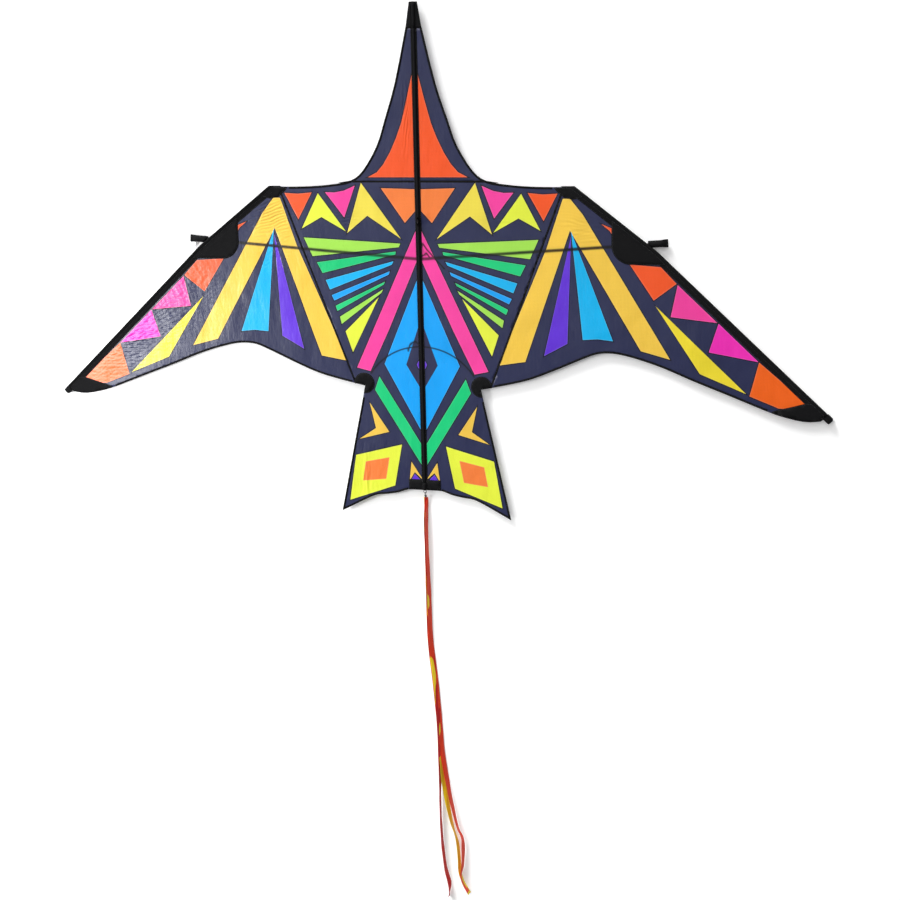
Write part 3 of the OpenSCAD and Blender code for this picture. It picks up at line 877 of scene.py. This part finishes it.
def make_spine(black, thread):
    """The spine's sleeve: a round tube, and on each side a sewn margin."""
    def round_sleeve(name, y0, y1, radius, node):
        rings = []
        n = max(4, int((y1 - y0) / 14))
        for i in range(n + 1):
            y = y0 + (y1 - y0) * i / n
            end = 0.5 if i in (0, n) else 0
            ring = []
            for k in range(28):
                a = 2 * math.pi * k / 28
                r = radius - end + 0.14 * noise.noise(Vector((math.cos(a) * 2, y / 22, math.sin(a) * 2)))
                ring.append((r * math.cos(a) * MM, y * MM, (SPINE_Z + r * math.sin(a)) * MM))
            rings.append(ring[::-1])
        piece = new_piece(name, *lofted(rings), [black])
        file_piece(piece, node, "root")

    round_sleeve("cloth_spine_sleeve", TAIL_END + 29, NOSE_Y + 1, 5.1, "spine_sleeve")
    round_sleeve("cloth_nose_pocket", NOSE_Y, NOSE_TOP, 6.1, "nose_patch")
    round_sleeve("cloth_tail_pocket", TAIL_END, TAIL_END + 29.5, 6.1, "tail_pocket")
    for side, s in SIDES.items():
        wide = 11.4
        strips = {
            "spine_margin": [(3.5, TAIL_END + 29), (wide, TAIL_END + 29), (wide, NOSE_Y), (3.5, NOSE_Y)],
            "nose_patch": [(4, NOSE_Y - 1), (29.5, NOSE_Y - 1), (15, NOSE_TOP - 0.5), (4, NOSE_TOP)],
            "tail_margin": [(4, TAIL_END), (wide, TAIL_END), (wide, TAIL_END + 29.6), (4, TAIL_END + 29.6)],
        }
        for name, corners in strips.items():
            lift = 0.6 if name == "spine_margin" else 0.95
            piece = cloth(f"cloth_{name}_{side}", [mirrored(corners, s)], black, lift, 0.7, step=8)
        for row, corners, lift in (("spine", [(9.6, TAIL_END + 32), (9.6, NOSE_Y - 4)], 1.05),
                                   ("nose", [(27, NOSE_Y + 3), (13.2, NOSE_TOP - 4)], 1.4)):
            dashes = stitches(f"{row}_stitch_{side}", [Vector(p) for p in mirrored(corners, s)],
                              thread, lift)


def make_pocket(side, black):
    """The tube that holds the spreader's end: round, then pressed flat and sewn shut."""
    s = SIDES[side]
    radius, start, round_to, end = 12.5, 838, 895, 908
    rings = []
    for d in list(np.linspace(start, round_to, 10)) + list(np.linspace(round_to, end, 9))[1:]:
        flat = float(smooth(np.array(d), round_to - 16, end - 5))
        wide, thick = radius + (14.5 - radius) * flat, radius + (1.4 - radius) * flat
        ring = []
        for k in range(32):
            a = 2 * math.pi * k / 32
            crumple = 1 + 0.025 * noise.noise(Vector((math.cos(a) * 2, d / 9, math.sin(a) * 2 + s)))
            across, up = wide * math.cos(a) * crumple, thick * math.sin(a) * crumple
            x = d * math.cos(SPREADER_RISE) - across * math.sin(SPREADER_RISE)
            y = SPREADER_Y + d * math.sin(SPREADER_RISE) + across * math.cos(SPREADER_RISE)
            top = SAIL_Z - SLEEVE_R - 0.3
            z = max(radius + up, 0.05)
            inside_edge = edge_distance(np.array([x]), np.array([y]))[0]
            if inside_edge > -1.5:
                z = min(z, top)
            ring.append((s * x * MM, y * MM, z * MM))
        rings.append(ring if s > 0 else ring[::-1])
    piece = new_piece(f"cloth_spreader_pocket_{side}", *lofted(rings), [black])
    file_piece(piece, f"spreader_pocket_{side}", f"wing_{side}")


def make_tip_pocket(side, black):
    """Webbing folded over the rod's end, pressed flat at its inner side and rounded at the fold."""
    s = SIDES[side]
    a, b = Vector(KNEE), Vector(TIP)
    along = (b - a).normalized()
    inward = Vector((along.y, -along.x))
    low, high = 0.0, SAIL_Z + SLEEVE_R
    rings = []
    for d in (-26, -25, -20, -14, -8, -3.5, -1.2, 0):
        pull = 0 if d < -6 else (6 + d) ** 2 / 36 * 2.6
        ring = []
        for k in range(36):
            angle = 2 * math.pi * k / 36
            c, q = math.cos(angle), math.sin(angle)
            power = 0.32
            across = (12.5 - pull) * math.copysign(abs(c) ** power, c)
            up = ((high - low) / 2 - pull) * math.copysign(abs(q) ** power, q)
            soft = 0.25 * noise.noise(Vector((d / 5, c * 2, q * 2)))
            p = b + along * d + inward * (12.5 + across + soft)
            ring.append((s * p.x * MM, p.y * MM, max((low + high) / 2 + up, 0.0) * MM))
        rings.append(ring if s < 0 else ring[::-1])
    piece = new_piece(f"cloth_tip_pocket_{side}", *lofted(rings), [black])
    file_piece(piece, f"tip_pocket_{side}", f"wing_{side}")


# ---------- connector, ties, clip ----------

def bend_with(piece):
    """Bakes the placement of a piece that crosses the spine's line into its mesh."""
    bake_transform(piece)


def middle_height(node):
    low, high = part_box(node)
    return (low.z + high.z) / 2 / MM


def make_connectors(rubber):
    """The flexible tubes at the middle of the spreader and of the arch, each made in two halves."""
    for side, s in SIDES.items():
        c, r = math.cos(SPREADER_RISE), math.sin(SPREADER_RISE)
        z = middle_height(f"spreader_rod_{side}")
        rings_at = [0, 1.5, 4, 8, 12, 16, 22, 30, 40, 50, 57, 59.5, 60]
        line = [(s * d * c, SPREADER_Y + d * r, z) for d in rings_at]
        radii = [5.5, 5.5, 5.45, 5.35, 5.35, 5.45, 5.5, 5.5, 5.5, 5.5, 5.5, 5.3, 4.3]
        half = tube(f"tube_centre_connector_{side}", line, radii, rubber, sides=28)
        file_piece(half, "centre_connector")
        bend_with(half)
        z = middle_height("arch_joiner")
        line = [(s * ARCH_R * math.sin(a), ARCH_TOP_Y - ARCH_R + ARCH_R * math.cos(a), z)
                for a in (math.radians(k) for k in (0, 0.5, 1, 1.5, 2, 3, 4, 5, 5.8, 6))]
        half = tube(f"tube_arch_joiner_{side}", line, [3.2] * 8 + [3.1, 2.3], rubber, sides=20)
        file_piece(half, "arch_joiner")
        bend_with(half)


def make_ties(cord):
    """The cords that hold the spreader and the arch to the spine, with their knots and loose ends."""
    z = middle_height("spreader_rod_right")
    wraps = []
    for turn in np.linspace(0, 3, 73):
        a = 2 * math.pi * turn
        wraps.append((-2.4 + 1.6 * turn, SPREADER_Y + 6.5 * math.sin(a), z + 6.6 * math.cos(a)))
    upper = [tube("tie_upper_wraps", wraps, 0.8, cord, sides=8),
             tube("tie_upper_end", rounded(TIE_STRANDS[0]), 0.85, cord, sides=8),
             tube("tie_upper_short_end", rounded(TIE_STRANDS[1]), 0.85, cord, sides=8)]
    knot = [(3 + 3.0 * math.sin(2 * t) + 1.2 * math.sin(3 * t), SPREADER_Y + 7.5 + 2.4 * math.cos(3 * t),
             z + 1.5 + 2.6 * math.cos(2 * t)) for t in np.linspace(0, 2 * math.pi, 60)]
    upper.append(tube("tie_upper_knot", knot, 0.85, cord, sides=8))
    z = middle_height("arch_joiner")
    wraps = []
    for turn in np.linspace(0, 2, 49):
        a = 2 * math.pi * turn
        wraps.append((-1.4 + 1.2 * turn, ARCH_TOP_Y + 4.1 * math.sin(a), z + 4.3 * math.cos(a)))
    lower = [tube("tie_lower_wraps", wraps, 0.8, cord, sides=8),
             tube("tie_lower_end", rounded(TIE_STRANDS[2]), 0.85, cord, sides=8)]
    for node, pieces, side in (("upper_tie", upper, "right"), ("lower_tie", lower, "left")):
        for piece in pieces:
            loose = piece.name.endswith("_end")
            file_piece(piece, node, None if loose else "root")
            if loose:
                # it lies against the wing on its side
                bend_with(piece)


# ---------- tail ----------

RIBBON_W = 0.020
# Routes of the three ribbons, in metres, as in the CAD model but for their half thickness
ROUTES = {
    "red": [(0, -0.873, 0.008), (-0.001, -0.900, 0.0045), (-0.003, -0.950, 0.003), (-0.003, -1.020, 0.003),
            (-0.001, -1.240, 0.003), (0.002, -1.465, 0.003), (0.018, -1.650, 0.003), (0.030, -1.810, 0.003),
            (0.033, -1.930, 0.003), (0.032, -2.050, 0.003), (0.030, -2.200, 0.002), (0.034, -2.355, 0.0005),
            (0.046, -2.480, 0.0005), (0.062, -2.560, 0.0005), (0.057, -2.615, 0.0005)],
    "orange": [(0.004, -0.874, 0.006), (0.004, -0.900, 0.003), (0.001, -0.950, 0.0015), (0, -1.020, 0.0015),
               (0.003, -1.240, 0.0015), (0.006, -1.465, 0.0015), (0.022, -1.650, 0.0015),
               (0.034, -1.810, 0.0015), (0.042, -1.950, 0.0015), (0.056, -2.050, 0.0015),
               (0.075, -2.165, 0.0015), (0.101, -2.285, 0.002), (0.121, -2.340, 0.003),
               (0.120, -2.450, 0.003), (0.112, -2.520, 0.003), (0.141, -2.580, 0.003)],
    "yellow": [(-0.004, -0.874, 0.0045), (-0.003, -0.900, 0.0015), (-0.001, -0.950, 0), (-0.002, -1.020, 0),
               (0.001, -1.240, 0), (0.003, -1.465, 0), (0.020, -1.650, 0), (0.032, -1.810, 0),
               (0.037, -1.950, 0), (0.042, -2.060, 0), (0.058, -2.180, 0), (0.078, -2.276, 0),
               (0.098, -2.355, 0), (0.104, -2.430, 0), (0.110, -2.510, 0), (0.145, -2.590, 0)],
}


# How far each ribbon leans over, in degrees, at distances along it in metres
LEANS = {
    "red": [(0, -30), (0.05, -64), (0.35, -60), (0.62, -28), (0.9, -28), (1.08, -50), (1.18, -74),
            (1.45, -80), (1.6, -66), (1.68, -45), (1.73, -92), (1.80, -30)],
    "orange": [(0, -30), (0.05, -64), (0.35, -60), (0.62, -28), (0.9, -20), (1.15, -40), (1.35, -64),
               (1.44, -94), (1.5, -64), (1.6, -66), (1.66, -86), (1.80, -60)],
    "yellow": [(0, -30), (0.05, -64), (0.35, -60), (0.62, -36), (0.9, -36), (1.15, -50), (1.24, -30),
               (1.36, -64), (1.44, -92), (1.5, -62), (1.6, -56), (1.68, -84), (1.80, -50)],
}


def make_ribbon(color, material, seed):
    """One tail ribbon: a flat strip that leans over and curls a little along its route."""
    line = rounded(ROUTES[color], per=12)
    line = [p for i, p in enumerate(line) if i == 0 or (p - line[i - 1]).length > 0.002]
    rng = random.Random(seed)
    phase = rng.uniform(0, 6)
    at, leans = zip(*LEANS[color])
    verts, faces, centre, far = [], [], [], 0.0
    cols = 6
    for i, (p, along, _, _) in enumerate(path_frames(line)):
        if i:
            far += (p - line[i - 1]).length
        lean = math.radians(np.interp(far, at, leans) + 5 * math.sin(far * 17 + phase))
        level = Vector((-along.y, along.x, 0)).normalized()
        across = level * math.cos(lean) + Vector((0, 0, 1)) * math.sin(lean)
        width = RIBBON_W / 2 * (1.0 if far > 0.09 else 0.45 + 0.55 * far / 0.09)
        middle = p + Vector((0, 0, width * abs(math.sin(lean)) + 0.0006))
        centre.append(middle)
        cup = 0.0012 * math.sin(far * 23 + phase)
        face = along.cross(across).normalized()
        for k in range(cols + 1):
            t = 2 * k / cols - 1
            curl = cup * (1 - t * t) + 0.0004 * math.sin(far * 60 + 4 * t)
            spot = middle + across * (t * width) + face * curl
            verts.append((spot.x, spot.y, max(spot.z, 0.0004)))
    for r in range(len(line) - 1):
        for k in range(cols):
            a = r * (cols + 1) + k
            faces.append((a, a + 1, a + cols + 2, a + cols + 1))
    piece = new_piece(f"tail_ribbon_{color}", verts, faces, [material])
    thicken(piece, 0.0003)
    file_piece(piece, f"ribbon_{color}", "tail")


def make_tail(cord):
    """The knot with its cord loop, and the three ribbons tied in it."""
    knot_at = Vector((0, TAIL_END - 25.5, 13))
    loops = []
    for t in np.linspace(0, 2 * math.pi, 90):
        r = 3.1 + 1.5 * math.cos(3 * t)
        turn = Vector((r * math.cos(2 * t), r * math.sin(2 * t) * 0.9, 2.4 * math.sin(3 * t)))
        loops.append(knot_at + turn)
    knot = tube("cord_tail_knot", loops, 1.15, cord, sides=10)
    ring = [(0.6 * math.sin(2 * t), TAIL_END - 15 + 6.5 * math.cos(t), SAIL_Z - 2 + 6.5 * math.sin(t))
            for t in np.linspace(0, 2 * math.pi, 48)]
    bight = tube("cord_tail_bight", ring, 0.95, cord, sides=10)
    for piece in (knot, bight):
        file_piece(piece, "tail_knot", "tail")
    for seed, (color, ink, length) in enumerate((("red", (0.50, 0.002, 0.003), 1.76),
                                                 ("orange", (0.72, 0.035, 0.004), 1.76),
                                                 ("yellow", (0.86, 0.64, 0.012), 1.77))):
        material = ripstop("ribbon_" + color, ink, 0.5, paints_rod_shade=False)
        make_ribbon(color, material, seed + 3)


# ---------- the room ----------

def make_floor():
    mesh = bpy.data.meshes.new("floor")
    half = 30
    corners = [(-half, -half, 0), (half, -half, 0), (half, half, 0), (-half, half, 0)]
    mesh.from_pydata(corners, [], [(0, 1, 2, 3)])
    floor = bpy.data.objects.new("floor", mesh)
    floor.location.z = -0.0002
    bpy.context.scene.collection.objects.link(floor)
    m = Nodes("floor")
    m.set(Base_Color=(0.93, 0.93, 0.93, 1), Roughness=0.9, Specular_IOR_Level=0.0,
          Emission_Color=(1, 1, 1, 1), Emission_Strength=0.17)
    mesh.materials.append(m.material)


def add_light(name, kind, strength, toward, spot=(0, 0, 0)):
    """Adds a lamp that shines in the direction toward, and returns its data."""
    data = bpy.data.lights.new(name, kind)
    data.energy = strength
    light = bpy.data.objects.new(name, data)
    light.location = spot
    light.rotation_mode = "QUATERNION"
    light.rotation_quaternion = Vector(toward).to_track_quat("-Z", "Y")
    bpy.context.scene.collection.objects.link(light)
    return data


def make_light():
    world = bpy.data.worlds.new("world")
    bpy.context.scene.world = world
    world.use_nodes = True
    tree, sky = world.node_tree, world.node_tree.nodes["Background"]
    # pale near the horizon, and darker overhead so that the cloth doesn't mirror a white ceiling
    where = tree.nodes.new("ShaderNodeTexCoord")
    parts = tree.nodes.new("ShaderNodeSeparateXYZ")
    fade = tree.nodes.new("ShaderNodeMapRange")
    for socket, value in (("From Min", 0.22), ("From Max", 0.6), ("To Min", 0.9), ("To Max", 0.1)):
        fade.inputs[socket].default_value = value
    tree.links.new(where.outputs["Generated"], parts.inputs[0])
    tree.links.new(parts.outputs["Z"], fade.inputs["Value"])
    tree.links.new(fade.outputs[0], sky.inputs["Strength"])
    sky.inputs["Color"].default_value = (1, 1, 1, 1)
    add_light("key", "SUN", 3.9, (0.75, -1.45, -0.52)).angle = math.radians(20)
    add_light("fill", "SUN", 1.7, (0.3, -0.95, -0.9)).angle = math.radians(70)
    glare, left_wing = Vector((-2.2, -0.5, 1.6)), Vector((-1.3, -0.2, 0))
    add_light("glare", "AREA", 46, left_wing - glare, glare).size = 0.7


def main():
    make_camera()
    black = webbing("black_cloth")
    thread = braid("thread", (0.03, 0.03, 0.033))
    cord = braid("black_cord")
    rod = fibre("rod_fibre")
    rubber = vinyl("vinyl")
    make_tail(cord)
    make_sails()
    make_trim(black, thread)
    make_spine(black, thread)
    for side in SIDES:
        make_edge_sleeve(side, black, thread)
        make_pocket(side, black)
        make_tip_pocket(side, black)
    make_connectors(rubber)
    make_ties(cord)
    looks = {"rod": rod, "cap": rubber, "ferrule": metal("ferrule_metal", low=0.3, high=0.5),
             "loop": cord, "tow_tab": black, "eyelet": rubber,
             "snap_clip": metal("clip_metal", (0.30, 0.30, 0.32), 0.2, 0.4)}
    for name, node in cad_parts.items():
        found = [look for word, look in looks.items() if word in name]
        if not node.hide_render:
            node.data.materials.clear()
            node.data.materials.append(found[0])
    make_floor()
    make_light()


main()
